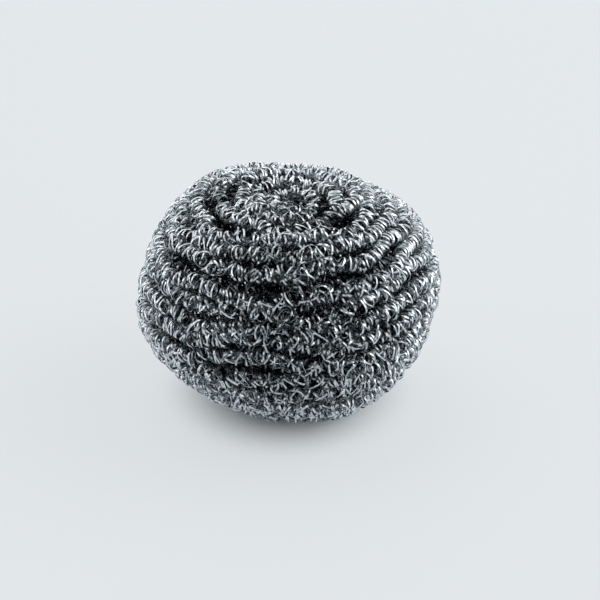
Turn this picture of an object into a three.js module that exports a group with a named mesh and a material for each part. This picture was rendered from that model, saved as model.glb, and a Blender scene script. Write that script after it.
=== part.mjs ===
// Stainless steel spiral scourer: one long strand of coiled flat wire, wound round and round a
// leaning axis into a bun-shaped ball, with a dimple in its crown and a foot where it rests.
// Millimetres, +Z up. The origin lies on the table, under the middle of the ball.

import * as THREE from "three";

// The ball, measured over the crests of its turns
const BALL_WIDTH = 73;
const CROWN_HEIGHT = 31; // from the widest turn up to the crown, before it is dimpled
const CROWN_FULLNESS = 2.27; // 2 rounds the crown as an ellipse, and more makes it squarer
const KEEL_DEPTH = 28; // from the widest turn down to the underside, before it is pressed
const DIMPLE_DEPTH = 5; // how far the crown sinks in the middle
const DIMPLE_RADIUS = 10;
const LEAN = THREE.MathUtils.degToRad(6); // of the winding's axis, towards the back
const FOOT_PRESS = 2.5; // how far the underside is pushed up where the ball rests

// The strand, and how it lies
const STRAND_DIAMETER = 4.2; // over the coils of wire
const ROW_PITCH = 4.4; // from one turn to the next, across the turns
const GROOVE_DEPTH = 1.3; // of a groove's floor between two turns, below the strand's centre line
const PARTING_SINK = 1.5; // how much deeper the floor lies in a parting, for each mm of its gap
const FOOT_SQUASH = 0.7; // flattening of the strand itself where it touches the table
const END_RADIUS = 2.2; // how far from the axis the strand starts below and ends above
const WANDER = 0.6; // how far a turn strays along the ball from an even spacing
const HEAVE = 0.6; // how far a turn stands proud of the ball, or sinks into it

// Uneven winding: each wave is [cycles per turn, phase in radians, share of the whole]
const WANDER_WAVES = [
  [0.413, 0.6, 0.5],
  [1.372, 2.1, 0.3],
  [3.618, 4.4, 0.2],
];
const HEAVE_WAVES = [
  [0.287, 1.9, 0.4],
  [1.847, 0.3, 0.35],
  [4.236, 3.2, 0.25],
];

// Lumps in the ball, and dents with a bulge below 0: where (azimuth and angle up from the widest
// turn, in degrees), how far they stand out, and how widely
const LUMPS = [
  { azimuth: 136, angle: 42, bulge: 2.6, spread: 14 },
  { azimuth: 60, angle: 43, bulge: 1.2, spread: 15 },
  { azimuth: 10, angle: 22, bulge: 2.1, spread: 15 },
  { azimuth: 192, angle: -12, bulge: 1.8, spread: 10 },
  { azimuth: 208, angle: -30, bulge: -1.1, spread: 9 },
  { azimuth: 310, angle: -50, bulge: 1.8, spread: 15 },
];

// Partings, where the turns are pulled apart: where (azimuth and angle up from the widest turn, in
// degrees), how far, over what length, and how much they rise along it
const PARTINGS = [
  { azimuth: 179, angle: 69, gap: 3.4, length: 6 },
  { azimuth: 184, angle: 60, gap: 2, length: 6 },
  { azimuth: 196, angle: 50, gap: 1.6, length: 5 },
  { azimuth: 221, angle: 57, gap: 1.6, length: 5 },
  { azimuth: 243, angle: 60, gap: 1.6, length: 4 },
  { azimuth: 265, angle: 67, gap: 2.4, length: 6 },
  { azimuth: 315, angle: 64, gap: 3.2, length: 7 },
  { azimuth: 329, angle: 76, gap: 2.6, length: 5 },
  { azimuth: 241, angle: 43, gap: 1.4, length: 9 },
  { azimuth: 308, angle: 44, gap: 1.7, length: 12, slant: -0.1 },
  { azimuth: 221, angle: 32, gap: 1.8, length: 9 },
  { azimuth: 223, angle: 25, gap: 1.2, length: 6 },
  { azimuth: 244, angle: 32, gap: 1.2, length: 4, slant: -0.5 },
  { azimuth: 260, angle: 31, gap: 1.5, length: 5 },
  { azimuth: 285, angle: 36, gap: 1.4, length: 7, slant: 0.4 },
  { azimuth: 313, angle: 35, gap: 1.9, length: 11, slant: 0.1 },
  { azimuth: 340, angle: 21, gap: 1.3, length: 9, slant: -0.2 },
  { azimuth: 235, angle: 22, gap: 1.2, length: 6, slant: 0.1 },
  { azimuth: 290, angle: 22, gap: 1.3, length: 7, slant: 0.2 },
  { azimuth: 211, angle: 15, gap: 1.3, length: 8 },
  { azimuth: 238, angle: 14, gap: 1.4, length: 8, slant: 0.1 },
  { azimuth: 271, angle: 15, gap: 1.4, length: 5, slant: -0.3 },
  { azimuth: 301, angle: 17, gap: 1.1, length: 5, slant: 0.2 },
  { azimuth: 217, angle: -1, gap: 1.4, length: 10 },
  { azimuth: 245, angle: 3, gap: 1.2, length: 7, slant: 0.1 },
  { azimuth: 274, angle: 3, gap: 1.1, length: 6, slant: -0.2 },
  { azimuth: 248, angle: -6, gap: 1.7, length: 11, slant: 0.1 },
  { azimuth: 264, angle: -5, gap: 1.2, length: 5 },
];

// Facets of the solid
const COLUMNS = 48; // steps round one turn
const SIDE_ANGLE = Math.PI / 4; // from a turn's crest to its side facets
const SIDE_LIMIT = 0.75; // the furthest that a side may lie towards the groove, as a share of the way
const MERIDIAN_STEPS = 900; // in which the meridian is measured

const STRAND_RADIUS = STRAND_DIAMETER / 2;
const LOWEST_CENTRE = STRAND_RADIUS - FOOT_SQUASH; // of the strand above the table
const UNPRESSED_DEPTH = Math.hypot(KEEL_DEPTH * Math.cos(LEAN), (BALL_WIDTH / 2) * Math.sin(LEAN));
const WAIST_HEIGHT = UNPRESSED_DEPTH - FOOT_PRESS; // of the widest turn's middle above the table
const LEAN_HINGE = new THREE.Vector3(-1, 0, 0);

// Half outline of the ball at the strand's centre line, from the bottom of the winding's axis to its
// top, with the widest turn at height 0.
class Meridian extends THREE.Curve {
  getPoint(t, target = new THREE.Vector2()) {
    const angle = (t - 0.5) * Math.PI;
    const [half, fullness] = angle < 0 ? [KEEL_DEPTH, 2] : [CROWN_HEIGHT, CROWN_FULLNESS];
    const radius = (BALL_WIDTH / 2 - STRAND_RADIUS) * Math.max(Math.cos(angle), 0) ** (2 / fullness);
    const rise = (half - STRAND_RADIUS) * Math.abs(Math.sin(angle)) ** (2 / fullness);
    const dimple = DIMPLE_DEPTH * Math.exp(-((radius / DIMPLE_RADIUS) ** 2));
    return target.set(radius, angle < 0 ? -rise : rise - dimple);
  }
}

const meridian = new Meridian();
meridian.arcLengthDivisions = MERIDIAN_STEPS;
const lengthsBelow = meridian.getLengths();
const meridianLength = lengthsBelow.at(-1);
const turns = Math.round((meridianLength - 2 * END_RADIUS) / ROW_PITCH);
const pitch = (meridianLength - 2 * END_RADIUS) / turns;

// The share of the meridian below a turn that is shifted up the ball from its even spacing.
function shareBelow(turn, shift = 0) {
  return THREE.MathUtils.clamp((END_RADIUS + turn * pitch + shift) / meridianLength, 0, 1);
}

// A point or direction of the meridian's plane, swung round the winding's axis.
function swing({ x: radius, y: height }, azimuth) {
  return new THREE.Vector3(radius * Math.cos(azimuth), radius * Math.sin(azimuth), height);
}

const lumps = LUMPS.map(({ azimuth, angle, bulge, spread }) => {
  const middle = swing(meridian.getPoint(0.5 + angle / 180), THREE.MathUtils.degToRad(azimuth));
  return { middle, bulge, spread };
});

// Each parting draws the nearest groove to its own place on the ball, and opens it there.
const partings = PARTINGS.map(({ azimuth, angle, gap, length, slant = 0 }) => {
  const share = 0.5 + angle / 180;
  const place = lengthsBelow[Math.round(share * MERIDIAN_STEPS)] - END_RADIUS;
  const grooveOffset = 0.5 + azimuth / 360;
  const turn = Math.round(place / pitch - grooveOffset) + grooveOffset;
  const circumference = 2 * Math.PI * meridian.getPoint(share).x;
  return { turn, draw: place - turn * pitch, gap, length, slant, circumference };
});

function sumOver(list, term) {
  return list.reduce((sum, item) => sum + term(item), 0);
}

// The height of some waves after a number of turns, from -1 to 1.
function unevenness(waves, turn) {
  const wave = ([cycles, phase, share]) => share * Math.sin(2 * Math.PI * cycles * turn + phase);
  return sumOver(waves, wave);
}

// How far the partings push the strand up the ball after a number of turns, less in each row away.
function partingPush(turn) {
  let [weights, drawn, opened] = [0, 0, 0];
  for (const { turn: middle, draw, gap, length, slant, circumference } of partings) {
    const rows = Math.round(turn - middle - 0.5) + 0.5;
    const along = (turn - middle - rows) * circumference;
    const weight = Math.exp(0.5 - Math.abs(rows) - (along / length) ** 2);
    weights += weight;
    drawn += weight * (draw + slant * along);
    opened += weight * (gap / 2) * Math.sign(rows);
  }
  return drawn / Math.max(weights, 1) + opened;
}

// How far the floor of the groove below a turn lies within the strand's centre line.
function grooveDepth(turn) {
  const sink = ({ turn: middle, gap, length, circumference }) => {
    const along = (turn - 0.5 - middle) * circumference;
    return PARTING_SINK * gap * Math.exp(-((along / length) ** 2));
  };
  return GROOVE_DEPTH + sumOver(partings, sink);
}

// How far the lumps push a point of the strand out.
function lumpBulge(point) {
  return sumOver(lumps, ({ middle, bulge, spread }) => {
    return bulge * Math.exp(-point.distanceToSquared(middle) / spread ** 2);
  });
}

// The winding's own axis leans, and stands on the table.
function stand(point) {
  point.applyAxisAngle(LEAN_HINGE, LEAN);
  point.z = Math.max(point.z + WAIST_HEIGHT, LOWEST_CENTRE);
  return point;
}

// The strand's centre and the outward direction there, after a number of turns from the bottom.
function strandAt(turn) {
  const azimuth = 2 * Math.PI * turn;
  const share = shareBelow(turn, WANDER * unevenness(WANDER_WAVES, turn) + partingPush(turn));
  const slope = meridian.getTangentAt(share);
  const outward = swing({ x: slope.y, y: -slope.x }, azimuth);
  const centre = swing(meridian.getPointAt(share), azimuth);
  centre.addScaledVector(outward, HEAVE * unevenness(HEAVE_WAVES, turn) + lumpBulge(centre));
  return { centre: stand(centre), outward: outward.applyAxisAngle(LEAN_HINGE, LEAN) };
}

// The way into the groove below a turn, midway to the turn before it, and the floor of that groove.
function grooveBelow(turn) {
  if (turn < 1 || turn > turns) {
    const end = stand(swing(meridian.getPoint(turn < 1 ? 0 : 1), 0));
    return { mouth: end, floor: end };
  }
  const [before, after] = [strandAt(turn - 1), strandAt(turn)];
  const mouth = before.centre.lerp(after.centre, 0.5);
  const outward = before.outward.add(after.outward).normalize();
  return { mouth, floor: mouth.clone().addScaledVector(outward, -grooveDepth(turn)) };
}

// The four points that a turn adds across itself: groove, lower side, crest and upper side.
function pointsAcross(turn) {
  const { centre, outward } = strandAt(turn);
  const side = ({ mouth }) => {
    const towards = mouth.clone().sub(centre);
    const reach = Math.min(STRAND_RADIUS * Math.sin(SIDE_ANGLE), SIDE_LIMIT * towards.length());
    return centre
      .clone()
      .addScaledVector(towards.normalize(), reach)
      .addScaledVector(outward, Math.sqrt(STRAND_RADIUS ** 2 - reach ** 2));
  };
  const groove = grooveBelow(turn);
  const crest = centre.clone().addScaledVector(outward, STRAND_RADIUS);
  return [groove.floor, side(groove), crest, side(grooveBelow(turn + 1))];
}

const [GROOVE, LOWER_SIDE, CREST, UPPER_SIDE] = [0, 1, 2, 3];
const ROWS = 4;
const BOTTOM = 0; // the number of the point on the axis in the foot
const TOP = 1; // and of the one in the crown

// The number of a surface point: one row of a turn, at a step round it.
function pointNumber(turn, column, row) {
  if (column === COLUMNS) return pointNumber(turn + 1, 0, row);
  if (turn === 0 && row === GROOVE) return BOTTOM;
  if (turn > turns || (turn === turns && column > 0)) return TOP;
  return 2 + (turn * COLUMNS + column) * ROWS + row;
}

// The outside of the windings as one closed surface, with a ridge that spirals up from foot to crown.
function woundBall() {
  const points = [grooveBelow(0).floor, grooveBelow(turns + 1).floor];
  for (let step = 0; step <= turns * COLUMNS; step++) points.push(...pointsAcross(step / COLUMNS));
  for (const point of points) point.z = Math.max(point.z, 0);

  const faces = [];
  const addFan = (first, ...rest) => {
    for (let i = 1; i < rest.length; i++) {
      const corners = [first, rest[i - 1], rest[i]];
      if (new Set(corners).size === 3) faces.push(...corners);
    }
  };
  for (let turn = 0; turn < turns; turn++) {
    for (let column = 0; column < COLUMNS; column++) {
      for (let row = 0; row < ROWS; row++) {
        const [turnAbove, rowAbove] = row === UPPER_SIDE ? [turn + 1, GROOVE] : [turn, row + 1];
        addFan(
          pointNumber(turn, column, row),
          pointNumber(turn, column + 1, row),
          pointNumber(turnAbove, column + 1, rowAbove),
          pointNumber(turnAbove, column, rowAbove),
        );
      }
    }
  }
  const ridgeAt = (turn) => [LOWER_SIDE, CREST, UPPER_SIDE].map((row) => pointNumber(turn, 0, row));
  addFan(BOTTOM, ...ridgeAt(0), pointNumber(1, 0, GROOVE)); // the strand's end in the foot
  addFan(TOP, ...ridgeAt(turns).reverse(), pointNumber(turns, 0, GROOVE)); // and in the crown

  const geometry = new THREE.BufferGeometry().setFromPoints(points).setIndex(faces);
  geometry.computeBoundingBox();
  const middle = geometry.boundingBox.getCenter(new THREE.Vector3());
  geometry.translate(-middle.x, -middle.y, 0);
  geometry.computeVertexNormals();
  return geometry;
}

const stainlessSteel = new THREE.MeshStandardMaterial({
  color: 0x9a9c9e,
  roughness: 0.25,
  metalness: 1,
});

const scourer = new THREE.Group();
const woundStrand = new THREE.Mesh(woundBall(), stainlessSteel);
woundStrand.name = "wound_strand";
scourer.add(woundStrand);

export default scourer;
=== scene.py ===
"""Stainless steel spiral scourer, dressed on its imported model.

One long strand of coiled flat wire is wound round and round a leaning axis into a bun-shaped ball. The
strand's centre line follows the rule of the solid, up from the foot to the crown, and then goes on down
and up again in two layers within, which show through the gaps. Geometry Nodes wrap that line in coils of
flat wire. Metres, +Z up.
"""

import logging
import math
from dataclasses import dataclass, field, fields
from enum import Enum
from functools import reduce
from typing import Any

import bpy
import numpy as np
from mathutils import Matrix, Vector


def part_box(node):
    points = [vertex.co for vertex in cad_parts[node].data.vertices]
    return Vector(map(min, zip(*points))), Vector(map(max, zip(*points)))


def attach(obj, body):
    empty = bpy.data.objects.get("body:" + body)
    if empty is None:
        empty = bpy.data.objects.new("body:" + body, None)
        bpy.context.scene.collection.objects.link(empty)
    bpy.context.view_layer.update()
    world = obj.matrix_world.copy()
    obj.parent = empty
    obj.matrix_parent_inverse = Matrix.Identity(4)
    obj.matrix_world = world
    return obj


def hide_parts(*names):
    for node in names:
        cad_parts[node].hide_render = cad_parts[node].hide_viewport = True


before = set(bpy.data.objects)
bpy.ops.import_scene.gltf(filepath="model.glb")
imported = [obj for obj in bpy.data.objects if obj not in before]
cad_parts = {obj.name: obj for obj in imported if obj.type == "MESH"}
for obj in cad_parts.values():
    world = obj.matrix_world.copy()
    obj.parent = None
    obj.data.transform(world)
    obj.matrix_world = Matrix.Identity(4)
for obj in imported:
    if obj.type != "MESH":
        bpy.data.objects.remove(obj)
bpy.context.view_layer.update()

NODE = "wound_strand"
BODY = "root"

log = logging.getLogger("scourer")


class Layer(Enum):
    """The layers of windings, by how far within the solid's strand each one's centre line lies."""

    OUTER = -0.0001
    MIDDLE = 0.0019
    INNER = 0.0056


@dataclass(frozen=True)
class Wave:
    """One wave of the uneven winding."""

    cycles: float  # in each turn
    phase: float
    share: float  # of the whole unevenness

    def height(self, turn: np.ndarray) -> np.ndarray:
        """The wave's height after each number of turns."""
        return self.share * np.sin(math.tau * self.cycles * turn + self.phase)


@dataclass(frozen=True)
class Place:
    """A place on the ball."""

    azimuth: float  # in degrees
    angle: float  # up from the widest turn, in degrees


@dataclass(frozen=True)
class Lump(Place):
    """A place where the ball bulges, or is dented if the bulge is below 0."""

    bulge: float
    spread: float


@dataclass(frozen=True)
class Parting(Place):
    """A place where two turns are pulled apart."""

    gap: float
    length: float
    slant: float = 0.0  # the rise along it


@dataclass(frozen=True)
class Tangle(Place):
    """A place where the coils have lost their order, and where the steel may be darkened by painted
    shade.
    """

    spread: float
    disorder: float  # painted shade in the middle of the place, from 0 to 1
    painted_tangle_shade: float  # the same


@dataclass(frozen=True)
class Ball:
    """The ball's outline and the rule of its winding, as in the solid, and the crown's pits."""

    width: float = 0.073
    crown_height: float = 0.031
    crown_fullness: float = 2.27
    keel_depth: float = 0.028
    dimple_depth: float = 0.005
    dimple_radius: float = 0.010
    lean: float = math.radians(6)
    foot_press: float = 0.0025
    strand_radius: float = 0.0021
    row_pitch: float = 0.0044
    foot_squash: float = 0.0007
    end_radius: float = 0.0022
    parting_sink: float = 1.5  # how deep the inner layers sink below a parting, as a share of its gap
    wander: float = 0.0006
    heave: float = 0.0006
    wander_waves: tuple[Wave, ...] = (
        Wave(0.413, 0.6, 0.5),
        Wave(1.372, 2.1, 0.3),
        Wave(3.618, 4.4, 0.2),
    )
    heave_waves: tuple[Wave, ...] = (
        Wave(0.287, 1.9, 0.4),
        Wave(1.847, 0.3, 0.35),
        Wave(4.236, 3.2, 0.25),
    )
    lumps: tuple[Lump, ...] = (
        Lump(136, 42, 0.0026, 0.014),
        Lump(60, 43, 0.0012, 0.015),
        Lump(10, 22, 0.0021, 0.015),
        Lump(192, -12, 0.0018, 0.010),
        Lump(208, -30, -0.0011, 0.009),
        Lump(310, -50, 0.0018, 0.015),
    )
    pits: tuple[Lump, ...] = (  # small holes between the crown's turns, which sink every layer
        Lump(173, 68, -0.0034, 0.0042),
        Lump(184, 63, -0.0026, 0.0034),
        Lump(319, 74, -0.0030, 0.0036),
        Lump(313, 64, -0.0034, 0.0040),
        Lump(264, 66, -0.0028, 0.0036),
    )
    partings: tuple[Parting, ...] = (
        Parting(179, 69, 0.0034, 0.006),
        Parting(184, 60, 0.0020, 0.006),
        Parting(196, 50, 0.0016, 0.005),
        Parting(221, 57, 0.0016, 0.005),
        Parting(243, 60, 0.0016, 0.004),
        Parting(265, 67, 0.0024, 0.006),
        Parting(315, 64, 0.0032, 0.007),
        Parting(329, 76, 0.0026, 0.005),
        Parting(241, 43, 0.0014, 0.009),
        Parting(308, 44, 0.0017, 0.012, -0.1),
        Parting(221, 32, 0.0018, 0.009),
        Parting(223, 25, 0.0012, 0.006),
        Parting(244, 32, 0.0012, 0.004, -0.5),
        Parting(260, 31, 0.0015, 0.005),
        Parting(285, 36, 0.0014, 0.007, 0.4),
        Parting(313, 35, 0.0019, 0.011, 0.1),
        Parting(340, 21, 0.0013, 0.009, -0.2),
        Parting(235, 22, 0.0012, 0.006, 0.1),
        Parting(290, 22, 0.0013, 0.007, 0.2),
        Parting(211, 15, 0.0013, 0.008),
        Parting(238, 14, 0.0014, 0.008, 0.1),
        Parting(271, 15, 0.0014, 0.005, -0.3),
        Parting(301, 17, 0.0011, 0.005, 0.2),
        Parting(217, -1, 0.0014, 0.010),
        Parting(245, 3, 0.0012, 0.007, 0.1),
        Parting(274, 3, 0.0011, 0.006, -0.2),
        Parting(248, -6, 0.0017, 0.011, 0.1),
        Parting(264, -5, 0.0012, 0.005),
    )

    @property
    def waist_height(self) -> float:
        """The height of the widest turn's middle above the table."""
        reach = self.width / 2 * math.sin(self.lean)
        return math.hypot(self.keel_depth * math.cos(self.lean), reach) - self.foot_press

    def stand(self, points: np.ndarray) -> np.ndarray:
        """Leans points or directions of the winding's own frame towards the back.

        Args:
            points: The points or directions, in rows.

        Returns:
            The leaning ones.
        """
        x, y, z = points.T
        sine, cosine = math.sin(self.lean), math.cos(self.lean)
        return np.stack([x, y * cosine + z * sine, z * cosine - y * sine], 1)


@dataclass
class Winding:
    """The windings of one layer of the ball."""

    ball: Ball
    layer: Layer
    table_steps: int = 4000
    tangent_step: float = 1e-4
    curl_turns: float = 0.8
    curl_reach: float = 0.0016
    shares: np.ndarray = field(init=False)
    length: float = field(init=False)

    def __post_init__(self) -> None:
        """Measures the meridian, from the bottom of the winding's axis to its top."""
        places = np.linspace(0, 1, self.table_steps)
        steps = np.linalg.norm(np.diff(self.meridian(places), axis=0), axis=1)
        self.length = float(steps.sum())
        self.shares = np.concatenate([[0], np.cumsum(steps)]) / self.length

    def meridian(self, place: np.ndarray) -> np.ndarray:
        """The half outline of the layer at the strand's centre line.

        Args:
            place: From 0 at the bottom of the axis to 1 at its top.

        Returns:
            The radius and the height above the widest turn, in two columns.
        """
        ball = self.ball
        inset = ball.strand_radius + self.layer.value
        angle = (place - 0.5) * math.pi
        below = angle < 0
        power = 2 / np.where(below, 2, ball.crown_fullness)
        radius = (ball.width / 2 - inset) * np.maximum(np.cos(angle), 0) ** power
        half = np.where(below, ball.keel_depth, ball.crown_height) - inset
        rise = half * np.abs(np.sin(angle)) ** power
        dimple = ball.dimple_depth * np.exp(-((radius / ball.dimple_radius) ** 2))
        return np.stack([radius, np.where(below, -rise, rise - dimple)], 1)

    @property
    def turns(self) -> int:
        """Counts the layer's whole turns: the middle layer has one less than the outer one.

        Returns:
            The number of turns.
        """
        if self.layer is Layer.MIDDLE:
            return Winding(self.ball, Layer.OUTER).turns - 1
        return round((self.length - 2 * self.ball.end_radius) / self.ball.row_pitch)

    @property
    def pitch(self) -> float:
        """The even spacing of the turns."""
        return (self.length - 2 * self.ball.end_radius) / self.turns

    def place(self, turn: np.ndarray, shift: np.ndarray | float = 0.0) -> np.ndarray:
        """The meridian's place at a turn that is shifted up the ball from its even spacing."""
        share = (self.ball.end_radius + turn * self.pitch + shift) / self.length
        return np.interp(share, self.shares, np.linspace(0, 1, self.table_steps))

    @staticmethod
    def swing(flat: np.ndarray, azimuth: np.ndarray | float) -> np.ndarray:
        """Swings radius and height, or a direction of that plane, round the winding's axis."""
        radius, height = flat.T
        return np.stack([radius * np.cos(azimuth), radius * np.sin(azimuth), height], 1)

    def spot(self, azimuth: float, angle: float) -> np.ndarray:
        """The point of the layer at an azimuth and an angle up from the widest turn, in degrees."""
        return self.swing(self.meridian(np.array([0.5 + angle / 180])), math.radians(azimuth))[0]

    def push(self, turn: np.ndarray) -> np.ndarray:
        """Works out how far the partings push the strand up the ball, less in each row away.

        Args:
            turn: The numbers of turns.

        Returns:
            The push at each of them. A parting draws the nearest groove to its own place, and opens it.
        """
        weights, drawn, opened = np.zeros((3, len(turn)))
        for parting in self.ball.partings:
            place = np.array([0.5 + parting.angle / 180])
            share = np.interp(place, np.linspace(0, 1, self.table_steps), self.shares)
            height = share * self.length - self.ball.end_radius
            offset = 0.5 + parting.azimuth / 360
            middle = np.round(height / self.pitch - offset) + offset
            rows = np.floor(turn - middle) + 0.5
            along = (turn - middle - rows) * math.tau * self.meridian(place)[0, 0]
            weight = np.exp(0.5 - np.abs(rows) - (along / parting.length) ** 2)
            weights += weight
            drawn += weight * (height - middle * self.pitch + parting.slant * along)
            opened += weight * parting.gap / 2 * np.sign(rows)
        return drawn / np.maximum(weights, 1) + opened

    def sink(self, points: np.ndarray) -> np.ndarray:
        """Works out how much deeper an inner layer lies below the partings.

        Args:
            points: Points of the layer.

        Returns:
            The depth at each of them.
        """
        deepest = np.zeros(len(points))
        for parting in self.ball.partings:
            azimuth = math.radians(parting.azimuth)
            spot = self.spot(parting.azimuth, parting.angle)
            rise = self.spot(parting.azimuth, parting.angle + 1) - spot
            along = (points - spot) @ (-math.sin(azimuth), math.cos(azimuth), 0)
            across = (points - spot) @ rise / np.linalg.norm(rise) - parting.slant * along
            spread = (along / parting.length) ** 2 + across**2 / self.ball.row_pitch**2
            sunk = self.ball.parting_sink * parting.gap * np.exp(-spread)
            deepest = np.maximum(deepest, np.where(points @ spot > 0, sunk, 0))
        return deepest

    def curl(self, turn: np.ndarray) -> np.ndarray:
        """How far the strand's end curls on towards the axis in the crown."""
        share = np.clip(1 - (self.turns - turn) / self.curl_turns, 0, 1)
        return self.curl_reach * share**2

    def bulge(self, points: np.ndarray, lumps: tuple[Lump, ...]) -> np.ndarray:
        """Works out how far lumps push the strand out.

        Args:
            points: Points of the strand.
            lumps: The lumps, or dents.

        Returns:
            The way out at each point.
        """
        total = np.zeros(len(points))
        for lump in lumps:
            distance = np.linalg.norm(points - self.spot(lump.azimuth, lump.angle), axis=1)
            total += lump.bulge * np.exp(-((distance / lump.spread) ** 2))
        return total

    def strand(self, turn: np.ndarray) -> tuple[np.ndarray, np.ndarray, np.ndarray]:
        """Works out the strand's lie after each number of turns from the bottom.

        Args:
            turn: The numbers of turns.

        Returns:
            The strand's centres, the outward directions there and the depths within the outer layer.
        """
        ball = self.ball
        shift = ball.wander * sum(wave.height(turn) for wave in ball.wander_waves)
        if self.layer is Layer.MIDDLE:
            shift = shift + self.pitch / 2
        if self.layer is Layer.OUTER:
            shift = shift + self.push(turn) + self.curl(turn)
        place = self.place(turn, shift)
        ahead = self.meridian(np.minimum(place + self.tangent_step, 1))
        behind = self.meridian(np.maximum(place - self.tangent_step, 0))
        slope = (ahead - behind) / np.linalg.norm(ahead - behind, axis=1, keepdims=True)
        azimuth = math.tau * turn
        outward = self.swing(np.stack([slope[:, 1], -slope[:, 0]], 1), azimuth)
        centre = self.swing(self.meridian(place), azimuth)
        heave = ball.heave * sum(wave.height(turn) for wave in ball.heave_waves)
        sink = self.sink(centre) * (self.layer is not Layer.OUTER) - self.bulge(centre, ball.pits)
        raised = heave + self.bulge(centre, ball.lumps) - sink
        centre = ball.stand(centre + outward * raised[:, None])
        lowest = ball.strand_radius - ball.foot_squash + self.layer.value
        centre[:, 2] = np.maximum(centre[:, 2] + ball.waist_height, lowest)
        return centre, ball.stand(outward), sink + self.layer.value - Layer.OUTER.value


@dataclass(frozen=True)
class Stray:
    """How far something strays along the strand, and over what length that changes."""

    calm: float  # where the coils lie in order
    tangled: float  # where they are tangled
    length: float


@dataclass(frozen=True)
class Coil:
    """The coil that flat wire makes along the strand, and how uneven it is."""

    radius: float = 0.0018
    pitch: float = 0.00083
    tangled_pitch: float = 0.00074
    wire_width: float = 0.00042
    wire_thickness: float = 0.00008
    bunch: Stray = Stray(0.0005, 0.0008, 0.036)  # of the strand across its row, over a long way
    sway: Stray = Stray(0.0010, 0.0014, 0.012)  # the same, over a shorter one
    billow: Stray = Stray(0.0010, 0.0010, 0.010)  # of the strand out of the ball and into it
    jostle: Stray = Stray(0.0003, 0.0013, 0.0030)  # of the strand every way
    stretch: Stray = Stray(40.0, 30.0, 0.025)  # how far coils slip along the strand, in radians
    slip: Stray = Stray(0.45, 2.4, 0.0019)  # the same, from one coil to the next
    swelling: Stray = Stray(0.12, 0.45, 0.0014)  # of the radius, as a share of it
    tilt: Stray = Stray(0.3, 1.6, 0.0012)  # how far a coil leans over, as a slope
    lean: Stray = Stray(0.5, 0.5, 0.009)  # the same, of many coils together
    drift: Stray = Stray(0.0001, 0.0007, 0.0006)  # of the wire from its coil's even course
    pull: Stray = Stray(0.25, 1.0, 0.0015)  # of a loop out of the strand, as a share of the radius
    pull_rarity: float = 0.42  # the chance value past which a loop is pulled out
    proud: float = 0.3  # the share of a bulge past the radius that stands out of the ball
    twist: Stray = Stray(0.5, 1.7, 0.00025)  # of the wire about its own line, in radians
    breadth: Stray = Stray(0.7, 0.7, 0.0021)  # of the wire's section, as a share of it
    seed: float = 27.0

    def numbers(self) -> dict[str, float]:
        """Gives each number of the coil a name of its own, such as tilt_calm.

        Returns:
            The numbers by name.
        """
        found = {}
        for size in fields(self):
            value = getattr(self, size.name)
            if isinstance(value, Stray):
                for part in fields(value):
                    found[f"{size.name}_{part.name}"] = getattr(value, part.name)
            else:
                found[size.name] = value
        return found


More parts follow.
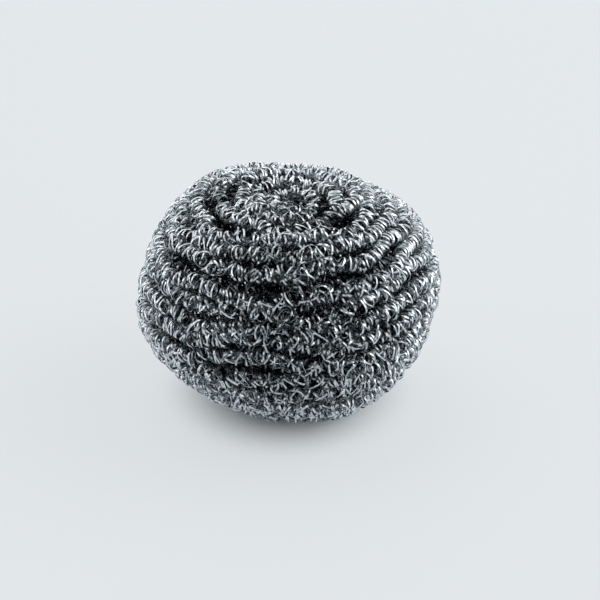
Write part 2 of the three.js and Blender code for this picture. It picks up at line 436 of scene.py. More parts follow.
@dataclass
class CentreLine:
    """The whole strand's centre line: up the outer layer, down the middle one and up the inner one."""

    ball: Ball
    coil: Coil
    samples_per_turn: int = 400
    spacing: float = 0.0005
    rounding: float = 0.0012  # of the strand's own bends, and where it dives to the next layer
    rounding_reach: float = 3.0  # how far the rounding reaches, as a multiple of it
    calm_left: float = 0.35  # the coils' disorder on the left of the ball
    calm_right: float = 0.12
    tangles: tuple[Tangle, ...] = (
        Tangle(272, 0, 0.024, 1.0, 0.95),
        Tangle(270, -28, 0.012, 0.5, 0.3),
        Tangle(270, 85, 0.012, 0.4, 0.35),
        Tangle(274, 34, 0.011, 0.8, 0.45),
        Tangle(205, 48, 0.012, 0.4, 0.0),
        Tangle(335, 3, 0.014, 0.3, 0.0),
    )
    points: np.ndarray = field(init=False)
    outward: np.ndarray = field(init=False)
    disorder: np.ndarray = field(init=False)
    painted_tangle_shade: np.ndarray = field(init=False)
    coils: np.ndarray = field(init=False)
    inset: np.ndarray = field(init=False)
    layer_starts: list[int] = field(init=False)

    def __post_init__(self) -> None:
        """Winds the layers one after another into one line, and marks where it is tangled."""
        centres, directions, insets = [], [], []
        for number, layer in enumerate(Layer):
            winding = Winding(self.ball, layer)
            turn = np.linspace(0, winding.turns, winding.turns * self.samples_per_turn)
            centre, outward, inset = winding.strand(turn)
            step = -1 if number % 2 else 1
            centres.append(centre[::step])
            directions.append(outward[::step])
            insets.append(inset[::step])
        outer = centres[0] + directions[0] * self.ball.strand_radius
        middle = (outer.min(0) + outer.max(0)) / 2
        low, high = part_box(NODE)
        move = np.array([*((low + high) / 2).xy, 0]) - middle * (1, 1, 0)
        self.lay_out(np.concatenate(centres) + move, np.concatenate(directions), np.concatenate(insets))
        lengths = [np.linalg.norm(np.diff(part, axis=0), axis=1).sum() for part in centres]
        self.layer_starts = [int(sum(lengths[:i]) / self.spacing) for i in range(len(lengths))]
        self.mark_tangles(low.x, high.x, move)

    def mark_tangles(self, left: float, right: float, move: np.ndarray) -> None:
        """Works out the disorder and the painted shade of each point, and counts the coils.

        Args:
            left: The x of the ball's left side.
            right: The x of its right side.
            move: How far the winding was moved to stand in the solid's place.
        """
        across = (self.points[:, 0] - left) / (right - left)
        order = 1 - self.calm_left - (self.calm_right - self.calm_left) * across
        # painted shade near the tangles, which darkens the steel there
        brightness = np.ones(len(order))
        for tangle in self.tangles:
            spot = Winding(self.ball, Layer.OUTER).spot(tangle.azimuth, tangle.angle)
            spot = self.ball.stand(spot[None])[0] + move + (0, 0, self.ball.waist_height)
            distance = np.linalg.norm(self.points - spot, axis=1)
            nearness = np.exp(-((distance / tangle.spread) ** 2))
            order *= 1 - tangle.disorder * nearness
            brightness *= 1 - tangle.painted_tangle_shade * nearness
        self.disorder = 1 - order
        self.painted_tangle_shade = 1 - brightness
        pitch = self.coil.pitch + (self.coil.tangled_pitch - self.coil.pitch) * self.disorder
        self.coils = np.cumsum(self.spacing / pitch)

    def lay_out(self, points: np.ndarray, outward: np.ndarray, inset: np.ndarray) -> None:
        """Spaces the line evenly and rounds its bends.

        Args:
            points: The strand's centres, in order.
            outward: The outward directions there.
            inset: How far each centre lies within the outer layer.
        """
        steps = np.linalg.norm(np.diff(points, axis=0), axis=1)
        travel = np.concatenate([[0], np.cumsum(steps)])
        even = np.arange(0, travel[-1], self.spacing)
        reach = math.ceil(self.rounding_reach * self.rounding / self.spacing)
        kernel = np.exp(-0.5 * (np.arange(-reach, reach + 1) * self.spacing / self.rounding) ** 2)
        kernel /= kernel.sum()

        def even_and_round(values: np.ndarray) -> np.ndarray:
            """One coordinate of the points, evenly spaced and with its course rounded."""
            spaced = np.pad(np.interp(even, travel, values), reach, mode="edge")
            return np.convolve(spaced, kernel, mode="valid")

        self.points = np.stack([even_and_round(values) for values in points.T], 1)
        self.outward = np.stack([even_and_round(values) for values in outward.T], 1)
        self.outward /= np.linalg.norm(self.outward, axis=1, keepdims=True)
        self.inset = even_and_round(inset)

    def mesh(self, name: str, first: int, last: int) -> bpy.types.Mesh:
        """Makes a stretch of the line a mesh of edges, with what the coils need to know at each point.

        Args:
            name: The mesh's name.
            first: The stretch's first point.
            last: Its last point.

        Returns:
            The mesh, with the attributes outward, travel, coils, disorder, painted_tangle_shade and
            inset.
        """
        stretch = slice(first, last + 1)
        count = len(self.points[stretch])
        mesh = bpy.data.meshes.new(name)
        mesh.from_pydata(self.points[stretch], [(i, i + 1) for i in range(count - 1)], [])
        outward = mesh.attributes.new("outward", "FLOAT_VECTOR", "POINT")
        outward.data.foreach_set("vector", self.outward[stretch].ravel())
        travel = mesh.attributes.new("travel", "FLOAT", "POINT")
        travel.data.foreach_set("value", np.arange(first, first + count) * self.spacing)
        for attribute in ("coils", "disorder", "painted_tangle_shade", "inset"):
            values = mesh.attributes.new(attribute, "FLOAT", "POINT")
            values.data.foreach_set("value", getattr(self, attribute)[stretch])
        return mesh


class NodeSheet:
    """A node tree in the making, with short calls for the nodes that it gets."""

    def __init__(self, tree: bpy.types.NodeTree) -> None:
        """Starts on a tree, and clears it."""
        self.tree = tree
        tree.nodes.clear()

    def add(
        self, kind: str, inputs: dict[str | int, Any] | None = None, **settings: Any
    ) -> bpy.types.Node:
        """Adds a node.

        Args:
            kind: The node's type.
            inputs: What its inputs take, by name or number: a socket to link to, or a value.
            **settings: The node's own options.

        Returns:
            The new node.
        """
        node = self.tree.nodes.new(kind)
        for name, value in settings.items():
            setattr(node, name, value)
        for name, value in (inputs or {}).items():
            if isinstance(value, bpy.types.NodeSocket):
                self.tree.links.new(value, node.inputs[name])
            else:
                node.inputs[name].default_value = value
        return node

    def math(self, operation: str, *values: Any) -> bpy.types.NodeSocket:
        """The result of a Math node on some sockets or numbers."""
        return self.add("ShaderNodeMath", dict(enumerate(values)), operation=operation).outputs[0]

    def vector(self, operation: str, *values: Any) -> bpy.types.NodeSocket:
        """The vector that a Vector Math node makes of some sockets or vectors."""
        node = self.add("ShaderNodeVectorMath", dict(enumerate(values)), operation=operation)
        return node.outputs["Vector"]

    def dot(self, first: Any, second: Any) -> bpy.types.NodeSocket:
        """The dot product of two vectors."""
        node = self.add("ShaderNodeVectorMath", {0: first, 1: second}, operation="DOT_PRODUCT")
        return node.outputs["Value"]

    def scaled(self, vector: Any, factor: Any) -> bpy.types.NodeSocket:
        """A vector times a number."""
        node = self.add("ShaderNodeVectorMath", {0: vector, "Scale": factor}, operation="SCALE")
        return node.outputs["Vector"]

    def named(self, name: str, kind: str) -> bpy.types.NodeSocket:
        """A named attribute of the geometry."""
        node = self.add("GeometryNodeInputNamedAttribute", {"Name": name}, data_type=kind)
        return node.outputs["Attribute"]


class CoilTree:
    """The Geometry Nodes tree that wraps a centre line in coils of flat wire."""

    STEPS = "steps_per_coil"
    MATERIAL = "material"
    SUNK = "sunk"  # the attribute that says how far below the ball's crests the wire lies, which sets the painted shade
    PAINTED_TANGLE_SHADE = "painted_tangle_shade"  # and the one that says how much painted shade darkens the steel near the tangles
    CHANNEL_GAP = 371.3  # how far apart the stretches of chance for different uses lie
    SHARP_BEND = math.radians(60)  # an edge that bends less than this is shaded smooth

    def __init__(self) -> None:
        """Builds the tree, with an input for each size of the coil."""
        self.tree = bpy.data.node_groups.new("coils_of_flat_wire", "GeometryNodeTree")
        self.sheet = NodeSheet(self.tree)
        self.channel = 0
        socket = self.tree.interface.new_socket
        socket("geometry", in_out="INPUT", socket_type="NodeSocketGeometry")
        for name in Coil().numbers():
            socket(name, in_out="INPUT", socket_type="NodeSocketFloat")
        socket(self.STEPS, in_out="INPUT", socket_type="NodeSocketInt")
        socket(self.MATERIAL, in_out="INPUT", socket_type="NodeSocketMaterial")
        socket("geometry", in_out="OUTPUT", socket_type="NodeSocketGeometry")
        self.inputs = self.sheet.add("NodeGroupInput").outputs
        wire = self.flat_wire(self.coiled_line(self.jostled_line(self.even_line())))
        realized = self.sheet.add("GeometryNodeRealizeInstances", {"Geometry": wire})
        dressed = self.sheet.add(
            "GeometryNodeSetMaterial",
            {"Geometry": realized.outputs[0], "Material": self.inputs[self.MATERIAL]},
        )
        self.sheet.add("NodeGroupOutput", {"geometry": dressed.outputs[0]})

    def even_line(self) -> bpy.types.NodeSocket:
        """Makes the centre line a curve with an even number of steps in each coil.

        Returns:
            The curve.
        """
        sheet = self.sheet
        curve = sheet.add("GeometryNodeMeshToCurve", {"Mesh": self.inputs["geometry"]}).outputs[0]
        length = sheet.add("GeometryNodeCurveLength", {"Curve": curve}).outputs[0]
        coils = sheet.math("DIVIDE", length, self.inputs["pitch"])
        count = sheet.math("MULTIPLY", coils, self.inputs[self.STEPS])
        resample = {"Curve": curve, "Count": count}
        return sheet.add("GeometryNodeResampleCurve", resample, mode="COUNT").outputs[0]

    def chance(self, length: bpy.types.NodeSocket) -> bpy.types.NodeSocket:
        """Makes smooth chance along the strand, different in each call.

        Args:
            length: The length of strand over which it changes.

        Returns:
            The chance value, about from -1 to 1.
        """
        sheet = self.sheet
        self.channel += 1
        travel = sheet.math("DIVIDE", sheet.named("travel", "FLOAT"), length)
        seeded = sheet.math("ADD", travel, self.inputs["seed"])
        place = sheet.math("ADD", seeded, self.channel * self.CHANNEL_GAP)
        noise = {"W": place, "Scale": 1.0, "Detail": 0.0}
        settings = {"noise_dimensions": "1D", "normalize": False}
        return sheet.add("ShaderNodeTexNoise", noise, **settings).outputs["Fac"]

    def amount(self, stray: str) -> bpy.types.NodeSocket:
        """Works out how much something may stray, between its calm and its tangled amount.

        Args:
            stray: The name of one of the coil's strays.

        Returns:
            The amount at the coils' disorder.
        """
        limits = {"To Min": self.inputs[f"{stray}_calm"], "To Max": self.inputs[f"{stray}_tangled"]}
        disorder = {"Value": self.sheet.named("disorder", "FLOAT")}
        return self.sheet.add("ShaderNodeMapRange", disorder | limits).outputs["Result"]

    def stray(self, stray: str) -> bpy.types.NodeSocket:
        """A new chance value times how much something may stray."""
        chance = self.chance(self.inputs[f"{stray}_length"])
        return self.sheet.math("MULTIPLY", chance, self.amount(stray))

    def total(self, *values: Any) -> bpy.types.NodeSocket:
        """The sum of some sockets or numbers."""
        return reduce(lambda total, value: self.sheet.math("ADD", total, value), values)

    def coil_radius(self) -> bpy.types.NodeSocket:
        """Varies the coil's radius along the strand, with swellings and a few loops that are pulled out.

        Returns:
            The radius.
        """
        sheet = self.sheet
        rarity = self.inputs["pull_rarity"]
        past = sheet.math("SUBTRACT", self.chance(self.inputs["pull_length"]), rarity)
        left = sheet.math("SUBTRACT", 1.0, rarity)
        pulled = sheet.math("MAXIMUM", sheet.math("DIVIDE", past, left), 0.0)
        pulled = sheet.math("MULTIPLY", pulled, self.amount("pull"))
        share = self.total(1.0, pulled, self.stray("swelling"))
        return sheet.math("MULTIPLY", share, self.inputs["radius"])

    def axes(self) -> tuple[bpy.types.NodeSocket, bpy.types.NodeSocket, bpy.types.NodeSocket]:
        """Works out the strand's own directions.

        Returns:
            The directions along the strand, across its row and out of the ball.
        """
        sheet = self.sheet
        tangent = sheet.add("GeometryNodeInputTangent").outputs[0]
        across = sheet.vector("CROSS_PRODUCT", tangent, sheet.named("outward", "FLOAT_VECTOR"))
        across = sheet.vector("NORMALIZE", across)
        return tangent, across, sheet.vector("CROSS_PRODUCT", across, tangent)

    def combined(self, *parts: tuple[Any, Any]) -> bpy.types.NodeSocket:
        """The sum of some directions, each times a length."""
        scaled = [self.sheet.scaled(direction, length) for direction, length in parts]
        return reduce(lambda total, part: self.sheet.vector("ADD", total, part), scaled)

    def jostled_line(self, curve: bpy.types.NodeSocket) -> bpy.types.NodeSocket:
        """Shakes the centre line out of its even course.

        Args:
            curve: The even centre line.

        Returns:
            The shaken line, with its first places as the attribute home.
        """
        position = self.sheet.add("GeometryNodeInputPosition").outputs[0]
        curve = self.keep(curve, "home", "FLOAT_VECTOR", position)
        tangent, across, outward = self.axes()
        aside = self.total(self.stray("bunch"), self.stray("sway"), self.stray("jostle"))
        out = self.total(self.stray("billow"), self.stray("jostle"))
        offset = self.combined((tangent, self.stray("jostle")), (across, aside), (outward, out))
        shaken = {"Geometry": curve, "Offset": offset}
        return self.sheet.add("GeometryNodeSetPosition", shaken).outputs[0]

    def coiled_line(self, curve: bpy.types.NodeSocket) -> bpy.types.NodeSocket:
        """Winds the centre line into a helix round itself.

        Args:
            curve: The shaken centre line.

        Returns:
            The wire's line, with the attributes radial, the direction away from the strand's middle,
            and sunk.
        """
        sheet = self.sheet
        tangent, across, outward = self.axes()
        turned = sheet.math("MULTIPLY", sheet.named("coils", "FLOAT"), math.tau)
        angle = self.total(turned, self.stray("stretch"), self.stray("slip"))
        sine, cosine = sheet.math("SINE", angle), sheet.math("COSINE", angle)
        radial = sheet.vector("ADD", sheet.scaled(outward, cosine), sheet.scaled(across, sine))

        radius = self.coil_radius()
        lean_out = sheet.math("MULTIPLY", self.total(self.stray("tilt"), self.stray("lean")), cosine)
        lean_across = sheet.math("MULTIPLY", self.total(self.stray("tilt"), self.stray("lean")), sine)
        slide = sheet.math("MULTIPLY", self.total(lean_out, lean_across), radius)
        slide = self.total(slide, self.stray("drift"))
        aside = self.total(sheet.math("MULTIPLY", sine, radius), self.stray("drift"))
        out = self.total(sheet.math("MULTIPLY", cosine, radius), self.stray("drift"))
        offset = self.combined((tangent, slide), (across, aside), (outward, out))

        position = sheet.add("GeometryNodeInputPosition").outputs[0]
        moved = sheet.vector("SUBTRACT", position, sheet.named("home", "FLOAT_VECTOR"))
        ball_outward = sheet.named("outward", "FLOAT_VECTOR")
        raised = sheet.dot(sheet.vector("ADD", moved, offset), ball_outward)
        past = sheet.math("MAXIMUM", sheet.math("SUBTRACT", raised, self.inputs["radius"]), 0.0)
        lowered = sheet.math("MULTIPLY", past, sheet.math("SUBTRACT", self.inputs["proud"], 1.0))
        offset = sheet.vector("ADD", offset, sheet.scaled(ball_outward, lowered))

        depth = sheet.math("SUBTRACT", self.inputs["radius"], self.total(raised, lowered))
        depth = self.total(depth, sheet.named("inset", "FLOAT"))
        curve = self.keep(curve, self.SUNK, "FLOAT", depth)
        curve = self.keep(curve, "radial", "FLOAT_VECTOR", radial)
        coiled = {"Geometry": curve, "Offset": self.above_table(offset)}
        return sheet.add("GeometryNodeSetPosition", coiled).outputs[0]

    def keep(self, geometry: Any, name: str, kind: str, value: Any) -> bpy.types.NodeSocket:
        """A geometry that keeps a value as a named attribute of each of its points."""
        stored = {"Geometry": geometry, "Name": name, "Value": value}
        return self.sheet.add("GeometryNodeStoreNamedAttribute", stored, data_type=kind).outputs[0]

    def above_table(self, offset: bpy.types.NodeSocket) -> bpy.types.NodeSocket:
        """Cuts an offset from the centre line short where it would reach below the table.

        Args:
            offset: The offset.

        Returns:
            The offset that stays above the table.
        """
        sheet = self.sheet
        position = sheet.add("GeometryNodeInputPosition").outputs[0]
        height = sheet.add("ShaderNodeSeparateXYZ", {0: position}).outputs["Z"]
        lowest = sheet.math("SUBTRACT", self.inputs["wire_width"], height)
        parts = sheet.add("ShaderNodeSeparateXYZ", {0: offset}).outputs
        raised = {"X": parts["X"], "Y": parts["Y"], "Z": sheet.math("MAXIMUM", parts["Z"], lowest)}
        return sheet.add("ShaderNodeCombineXYZ", raised).outputs[0]

    def flat_wire(self, curve: bpy.types.NodeSocket) -> bpy.types.NodeSocket:
        """Gives the wire's line its flat section.

        Args:
            curve: The wire's line, with the attribute radial.

        Returns:
            The wire as a closed mesh with sharp edges.
        """
        sheet = self.sheet
        tangent = sheet.add("GeometryNodeInputTangent").outputs[0]
        radial = sheet.named("radial", "FLOAT_VECTOR")
        along = sheet.scaled(tangent, sheet.dot(radial, tangent))
        normal = sheet.vector("NORMALIZE", sheet.vector("SUBTRACT", radial, along))
        turned = {"Vector": normal, "Axis": tangent, "Angle": self.stray("twist")}
        normal = sheet.add("ShaderNodeVectorRotate", turned, rotation_type="AXIS_ANGLE").outputs[0]
        faced = {"Curve": curve, "Normal": normal}
        curve = sheet.add("GeometryNodeSetCurveNormal", faced, mode="FREE").outputs[0]
        breadth = {"Curve": curve, "Radius": self.total(1.0, self.stray("breadth"))}
        curve = sheet.add("GeometryNodeSetCurveRadius", breadth).outputs[0]
        section = sheet.add(
            "GeometryNodeCurvePrimitiveQuadrilateral",
            {"Width": self.inputs["wire_thickness"], "Height": self.inputs["wire_width"]},
        )
        swept = {"Curve": curve, "Profile Curve": section.outputs[0], "Fill Caps": True}
        mesh = sheet.add("GeometryNodeCurveToMesh", swept).outputs[0]
        for name in ("outward", "travel", "coils", "disorder", "inset", "home", "radial"):
            bare = {"Geometry": mesh, "Name": name}
            mesh = sheet.add("GeometryNodeRemoveAttribute", bare).outputs[0]
        bend = sheet.add("GeometryNodeInputMeshEdgeAngle").outputs["Unsigned Angle"]
        smooth = sheet.math("LESS_THAN", bend, self.SHARP_BEND)
        edges = {"Geometry": mesh, "Shade Smooth": smooth}
        return sheet.add("GeometryNodeSetShadeSmooth", edges, domain="EDGE").outputs[0]

    def wrap(
        self, line: bpy.types.Mesh, coil: Coil, steps: int, material: bpy.types.Material
    ) -> bpy.types.Object:
        """Wraps a stretch of centre line in coils of wire.

        Args:
            line: The stretch, as CentreLine.mesh makes it.
            coil: The coil's sizes.
            steps: How many straight steps make one coil.
            material: The wire's finish.

        Returns:
            The wire as an object with a plain mesh.
        """
        source = bpy.data.objects.new(line.name, line)
        bpy.context.scene.collection.objects.link(source)
        modifier = source.modifiers.new("coils", "NODES")
        modifier.node_group = self.tree
        values = coil.numbers() | {self.STEPS: steps, self.MATERIAL: material}
        for socket in self.tree.interface.items_tree:
            if socket.in_out == "INPUT" and socket.name in values:
                modifier[socket.identifier] = values[socket.name]
        evaluated = source.evaluated_get(bpy.context.evaluated_depsgraph_get())
        mesh = bpy.data.meshes.new_from_object(evaluated)
        mesh.name = line.name
        source.modifiers.remove(modifier)
        source.data = mesh
        bpy.data.meshes.remove(line)
        return source


@dataclass(frozen=True)
class SteelFinish:
    """Bright drawn stainless steel, duller in patches, and darkened by painted shade deep inside the
    ball and near the tangles.
    """

    bright: tuple[float, float, float, float] = (0.86, 0.93, 0.96, 1)
    dull: tuple[float, float, float, float] = (0.44, 0.50, 0.53, 1)
    tangle_shade_share: float = 0.64  # of the brightness left by the painted shade, where the tangled coils are darkest
    painted_shade_by_depth: tuple[tuple[float, float], ...] = (  # painted shade: the share of the brightness left, by depth below the crests
        (0.0005, 1.0),
        (0.0018, 0.76),
        (0.0032, 0.42),
        (0.0055, 0.07),
    )
    bright_roughness: float = 0.10
    dull_roughness: float = 0.30
    patch_scale: float = 1300.0
    patch_detail: float = 3.0
    dull_patch: float = 0.35  # the patch noise up to which the steel is dull
    bright_patch: float = 0.6  # and the one from which its colour is bright
    smooth_patch: float = 0.65  # and the one from which its face is smooth
    scratch_scale: float = 5200.0
    scratch_detail: float = 2.0
    scratch_strength: float = 0.12
    scratch_height: float = 0.0001

    def material(self) -> bpy.types.Material:
        """Makes the finish of nodes on Object coordinates, with painted shade by the wire's depth and
        near the tangles.

        Returns:
            The material.
        """
        material = bpy.data.materials.new("stainless_steel_wire")
        material.use_nodes = True
        sheet = NodeSheet(material.node_tree)
        place = sheet.add("ShaderNodeTexCoord").outputs["Object"]
        noise = {"Vector": place, "Scale": self.patch_scale, "Detail": self.patch_detail}
        patch = sheet.add("ShaderNodeTexNoise", noise).outputs["Fac"]
        ramp = sheet.add("ShaderNodeValToRGB", {"Fac": patch})
        low, high = ramp.color_ramp.elements
        low.position, low.color = self.dull_patch, self.dull
        high.position, high.color = self.bright_patch, self.bright
        # painted shade, darker the deeper the wire lies in the ball
        colour = sheet.scaled(ramp.outputs["Color"], self.painted_depth_shade(sheet))
        # painted shade near the tangles: a darker colour, not a duller finish
        painted_tangle_shade = sheet.add("ShaderNodeAttribute", attribute_name=CoilTree.PAINTED_TANGLE_SHADE).outputs["Fac"]
        tangle_shading = {"Value": painted_tangle_shade, "To Min": 1.0, "To Max": self.tangle_shade_share}
        shade = sheet.add("ShaderNodeMapRange", tangle_shading).outputs["Result"]
        colour = sheet.scaled(colour, shade)
        polish = {"Value": patch, "From Min": self.dull_patch, "From Max": self.smooth_patch}
        limits = {"To Min": self.dull_roughness, "To Max": self.bright_roughness}
        roughness = sheet.add("ShaderNodeMapRange", polish | limits).outputs["Result"]
        scratch = {"Vector": place, "Scale": self.scratch_scale, "Detail": self.scratch_detail}
        lines = sheet.add("ShaderNodeTexNoise", scratch).outputs["Fac"]
        relief = {"Strength": self.scratch_strength, "Distance": self.scratch_height, "Height": lines}
        bump = sheet.add("ShaderNodeBump", relief).outputs["Normal"]
        steel = {"Base Color": colour, "Metallic": 1.0, "Roughness": roughness, "Normal": bump}
        shader = sheet.add("ShaderNodeBsdfPrincipled", steel)
        sheet.add("ShaderNodeOutputMaterial", {"Surface": shader.outputs[0]})
        return material

    def painted_depth_shade(self, sheet: NodeSheet) -> bpy.types.NodeSocket:
        """Paints shade on the steel by the wire's depth in the ball.

        Args:
            sheet: The material's sheet.

        Returns:
            The share of the brightness that is left.
        """
        sunk = sheet.add("ShaderNodeAttribute", attribute_name=CoilTree.SUNK).outputs["Fac"]
        deepest, _ = self.painted_shade_by_depth[-1]
        ramp = sheet.add("ShaderNodeValToRGB", {"Fac": sheet.math("DIVIDE", sunk, deepest)})
        stops = ramp.color_ramp.elements
        while len(stops) < len(self.painted_shade_by_depth):
            stops.new(1.0)
        for stop, (depth, share) in zip(stops, self.painted_shade_by_depth):
            stop.position, stop.color = depth / deepest, (share, share, share, 1)
        return ramp.outputs["Color"]


@dataclass(frozen=True)
class Stretch:
    """A stretch of the strand that makes one piece."""

    name: str
    layer: Layer
    start: float  # as a share of the layer's length
    end: float
    steps_per_coil: int


@dataclass
class Strand:
    """The one long strand, made in stretches that follow each other without a break."""

    line: CentreLine
    finish: SteelFinish = SteelFinish()
    stretches: tuple[Stretch, ...] = (
        Stretch("foot_windings", Layer.OUTER, 0, 0.34, 16),
        Stretch("waist_windings", Layer.OUTER, 0.34, 0.67, 16),
        Stretch("crown_windings", Layer.OUTER, 0.67, 1, 16),
        Stretch("middle_crown_windings", Layer.MIDDLE, 0, 0.5, 9),
        Stretch("middle_foot_windings", Layer.MIDDLE, 0.5, 1, 9),
        Stretch("inner_windings", Layer.INNER, 0, 1, 8),
    )

    def build(self) -> list[bpy.types.Object]:
        """Makes each stretch, and puts it in the place of the solid.

        Returns:
            The pieces, in the strand's order.
        """
        tree, material = CoilTree(), self.finish.material()
        ends = [*self.line.layer_starts, len(self.line.points) - 1]
        pieces = []
        for stretch in self.stretches:
            number = list(Layer).index(stretch.layer)
            start, length = ends[number], ends[number + 1] - ends[number]
            first, last = (start + int(share * length) for share in (stretch.start, stretch.end))
            mesh = self.line.mesh(stretch.name, first, last)
            piece = tree.wrap(mesh, self.line.coil, stretch.steps_per_coil, material)
            self.dress(piece)
            pieces.append(piece)
        return pieces

    @staticmethod
    def dress(piece: bpy.types.Object) -> None:
        """Puts a piece on the body, in the solid's place and with its finish, and reports it.

        Args:
            piece: The piece.
        """
        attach(piece, BODY)
        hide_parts(NODE)
        piece.data.calc_loop_triangles()
        log.info("%s: %d triangles", piece.name, len(piece.data.loop_triangles))


@dataclass(frozen=True)
class Lamp:
    """A soft square lamp that faces the ball."""

    name: str
    place: tuple[float, float, float]
    side: float
    radiance: float

    def build(self, aim: Vector) -> None:
        """Hangs the lamp and turns it to a point.

        Args:
            aim: The point.
        """
        light = bpy.data.lights.new(self.name, "AREA")
        light.shape, light.size = "SQUARE", self.side
        light.energy = self.radiance * math.pi * self.side**2
        lamp = bpy.data.objects.new(self.name, light)
        lamp.location = self.place
        lamp.rotation_euler = (aim - Vector(self.place)).to_track_quat("-Z", "Y").to_euler()
        bpy.context.scene.collection.objects.link(lamp)


@dataclass(frozen=True)
class FloorFinish:
    """A plain pale floor, which the camera and bright metal see lighter away from the ball: near the
    ball its glow is taken away as a painted shadow, under which the real shadow shows at full depth.
    """

    colour: tuple[float, float, float, float] = (0.80, 0.835, 0.86, 1)
    roughness: float = 0.7
    glow: float = 0.75  # the share of the floor's look that no shadow dims, away from the ball
    glow_start: float = 0.014  # how far from the ball's middle the glow starts: within it lies the painted shadow
    painted_shadow_edge: float = 0.034  # and where it is full, at the painted shadow's edge

    def material(self) -> bpy.types.Material:
        """Makes the finish of nodes on Object coordinates.

        Returns:
            The material.
        """
        material = bpy.data.materials.new("pale_floor")
        material.use_nodes = True
        sheet = NodeSheet(material.node_tree)
        plain = {"Base Color": self.colour, "Roughness": self.roughness}
        lit = sheet.add("ShaderNodeBsdfPrincipled", plain)
        glow = sheet.add("ShaderNodeEmission", {"Color": self.colour, "Strength": 1.0})
        rays = sheet.add("ShaderNodeLightPath").outputs
        seen = sheet.math("MAXIMUM", rays["Is Camera Ray"], rays["Is Glossy Ray"])
        seen = sheet.math("MAXIMUM", seen, rays["Is Transmission Ray"])
        place = sheet.add("ShaderNodeTexCoord").outputs["Object"]
        away = sheet.add("ShaderNodeVectorMath", {0: place}, operation="LENGTH").outputs["Value"]
        # painted shadow: the glow that no shadow dims dies away towards the ball's middle
        painted_shadow_falloff = {"Value": away, "From Min": self.glow_start, "From Max": self.painted_shadow_edge}
        painted_shadow_falloff |= {"To Max": self.glow}
        clear = sheet.add("ShaderNodeMapRange", painted_shadow_falloff, interpolation_type="SMOOTHSTEP")
        share = sheet.math("MULTIPLY", seen, clear.outputs["Result"])
        mixed = sheet.add("ShaderNodeMixShader", {0: share, 1: lit.outputs[0], 2: glow.outputs[0]})
        sheet.add("ShaderNodeOutputMaterial", {"Surface": mixed.outputs[0]})
        return material


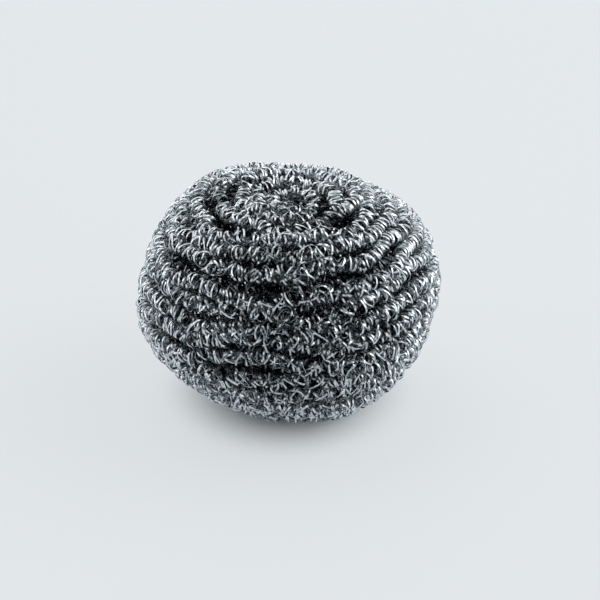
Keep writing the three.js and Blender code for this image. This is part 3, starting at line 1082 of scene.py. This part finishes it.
@dataclass(frozen=True)
class Studio:
    """The pale floor, the lamps, the surroundings and the camera."""

    floor_radius: float = 4.0
    floor_corners: int = 64
    floor_finish: FloorFinish = FloorFinish()
    lamps: tuple[Lamp, ...] = (
        Lamp("key_lamp", (1.0, 0.2, 0.65), 0.9, 1.5),
        Lamp("top_lamp", (-0.3, 0.3, 1.1), 0.7, 0.8),
    )
    zenith: float = 0.50  # the light's strength from above
    left_side: float = 1.9  # and from level with the ball on the left
    right_side: float = 1.85  # and on the right
    camera_side: float = 0.02  # the share that is left of it on the camera's side
    zenith_height: float = 0.9  # the rise of a direction from which the light is that of the zenith
    dark_front: float = -0.65  # the y of a direction up to which the camera's side is darkest
    light_front: float = -0.05  # and the one from which there is full light
    right_reach: float = 0.45  # how much further to the front the light reaches on the right
    view_elevation: float = math.radians(32)
    view_distance: float = 0.5
    view_width: float = 0.1485  # of the picture, at the ball
    aim_right: float = 0.0028
    aim_down: float = 0.00255

    def build(self) -> None:
        """Sets up everything around the ball."""
        low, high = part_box(NODE)
        middle = (low + high) / 2
        self.lay_floor()
        self.surround()
        for lamp in self.lamps:
            lamp.build(middle)
        self.aim_camera(middle)
        bpy.context.scene.view_settings.view_transform = "Standard"

    def lay_floor(self) -> None:
        """Lays a round pale floor under the ball."""
        mesh = bpy.data.meshes.new("floor")
        angles = [math.tau * i / self.floor_corners for i in range(self.floor_corners)]
        rim = [(self.floor_radius * math.cos(a), self.floor_radius * math.sin(a), 0) for a in angles]
        mesh.from_pydata(rim, [], [range(self.floor_corners)])
        mesh.materials.append(self.floor_finish.material())
        floor = bpy.data.objects.new("floor", mesh)
        bpy.context.scene.collection.objects.link(floor)

    def surround(self) -> None:
        """Surrounds the ball with soft light that is darker on the camera's side."""
        world = bpy.data.worlds.new("soft_room")
        bpy.context.scene.world = world
        world.use_nodes = True
        sheet = NodeSheet(world.node_tree)
        direction = sheet.add("ShaderNodeTexCoord").outputs["Generated"]
        parts = sheet.add("ShaderNodeSeparateXYZ", {0: direction}).outputs
        aside = {"Value": parts["X"], "From Min": -1.0, "From Max": 1.0}
        aside |= {"To Min": self.left_side, "To Max": self.right_side}
        side = sheet.add("ShaderNodeMapRange", aside).outputs["Result"]
        rise = {"Value": parts["Z"], "From Min": 0.0, "From Max": self.zenith_height}
        rise |= {"To Min": side, "To Max": self.zenith}
        level = sheet.add("ShaderNodeMapRange", rise).outputs["Result"]
        right = sheet.math("MAXIMUM", parts["X"], 0.0)
        depth = sheet.math("MULTIPLY_ADD", right, self.right_reach, parts["Y"])
        front = {"Value": depth, "From Min": self.dark_front, "From Max": self.light_front}
        front |= {"To Min": self.camera_side, "To Max": 1.0}
        shade = sheet.add("ShaderNodeMapRange", front, interpolation_type="SMOOTHSTEP")
        light = sheet.math("MULTIPLY", level, shade.outputs["Result"])
        background = sheet.add("ShaderNodeBackground", {"Strength": light})
        background.inputs["Color"].default_value = (1, 1, 1, 1)
        sheet.add("ShaderNodeOutputWorld", {"Surface": background.outputs[0]})

    def aim_camera(self, middle: Vector) -> None:
        """Stands the camera where the photograph's viewing angle asks for it.

        Args:
            middle: The middle of the ball.
        """
        camera = bpy.data.objects.new("camera", bpy.data.cameras.new("camera"))
        back = Vector((0, -math.cos(self.view_elevation), math.sin(self.view_elevation)))
        up = Vector((0, math.sin(self.view_elevation), math.cos(self.view_elevation)))
        aim = middle + Vector((self.aim_right, 0, 0)) - up * self.aim_down
        camera.data.lens = camera.data.sensor_width * self.view_distance / self.view_width
        camera.location = aim + back * self.view_distance
        camera.rotation_euler = (-back).to_track_quat("-Z", "Y").to_euler()
        bpy.context.scene.collection.objects.link(camera)
        bpy.context.scene.camera = camera


def main() -> None:
    """Builds the studio and the strand."""
    logging.basicConfig(level=logging.INFO, format="%(message)s")
    Studio().build()
    pieces = Strand(CentreLine(Ball(), Coil())).build()
    log.info("%d pieces", len(pieces))


if __name__ == "__main__":
    main()
